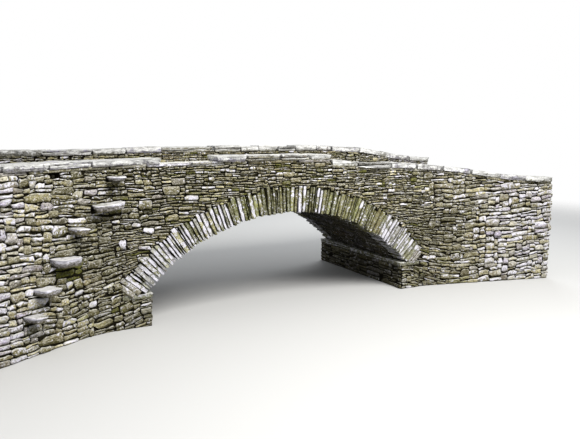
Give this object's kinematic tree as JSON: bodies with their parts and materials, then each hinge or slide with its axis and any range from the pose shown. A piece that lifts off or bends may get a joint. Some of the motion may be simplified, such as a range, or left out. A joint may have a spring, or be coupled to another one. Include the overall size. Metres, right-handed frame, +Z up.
{
  "type": "packhorse bridge",
  "caption": "Slate packhorse bridge with a segmental arch of thin voussoirs, dry rubble walls that splay at the ends, low parapets with slab copings and a stile of through-stones.",
  "frame": {"origin": "middle of the footprint at the foot of the walls, under the middle of the arch", "axes": "+X along the bridge to the right, +Y across it to the back, +Z up"},
  "size_m": [12.4, 6.4062, 2.9124],
  "materials": {
    "approach_earth": "rough",
    "barrel_slate": "damp, rough",
    "bed_slate": "weathered",
    "coping_slate": "weathered, lichened",
    "footing_rubble": "damp, rough",
    "ledge_slate": "weathered",
    "road_stone": "worn",
    "rubble_fill": "rough",
    "step_slate": "worn",
    "voussoir_slate": "weathered, lichened",
    "wall_rubble": "weathered, mossy"
  },
  "bodies": {
    "root": {"left_abutment": "footing_rubble", "right_abutment": "footing_rubble", "left_springing_course": "ledge_slate", "right_springing_course": "ledge_slate", "left_skewback": "footing_rubble", "right_skewback": "footing_rubble", "barrel_left": "barrel_slate", "barrel_crown": "barrel_slate", "barrel_right": "barrel_slate", "front_arch_ring": "voussoir_slate", "back_arch_ring": "voussoir_slate", "front_spandrel_left": "wall_rubble", "front_spandrel_right": "wall_rubble", "back_spandrel_left": "wall_rubble", "back_spandrel_right": "wall_rubble", "front_parapet": "wall_rubble", "back_parapet": "wall_rubble", "front_left_wing": "wall_rubble", "front_right_wing": "wall_rubble", "back_left_wing": "wall_rubble", "back_right_wing": "wall_rubble", "left_haunch_fill": "rubble_fill", "right_haunch_fill": "rubble_fill", "left_approach_fill": "approach_earth", "right_approach_fill": "approach_earth", "roadway_left": "road_stone", "roadway_crown": "road_stone", "roadway_right": "road_stone", "front_bed_left": "bed_slate", "front_bed_crown": "bed_slate", "front_bed_right": "bed_slate", "front_coping_left": "coping_slate", "front_coping_crown": "coping_slate", "front_coping_right": "coping_slate", "back_coping_left": "coping_slate", "back_coping_crown": "coping_slate", "back_coping_right": "coping_slate", "stile_step_1": "step_slate", "stile_step_2": "step_slate", "stile_step_3": "step_slate", "stile_step_4": "step_slate", "stile_step_5": "step_slate", "stile_step_6": "step_slate"}
  },
  "joints": []
}
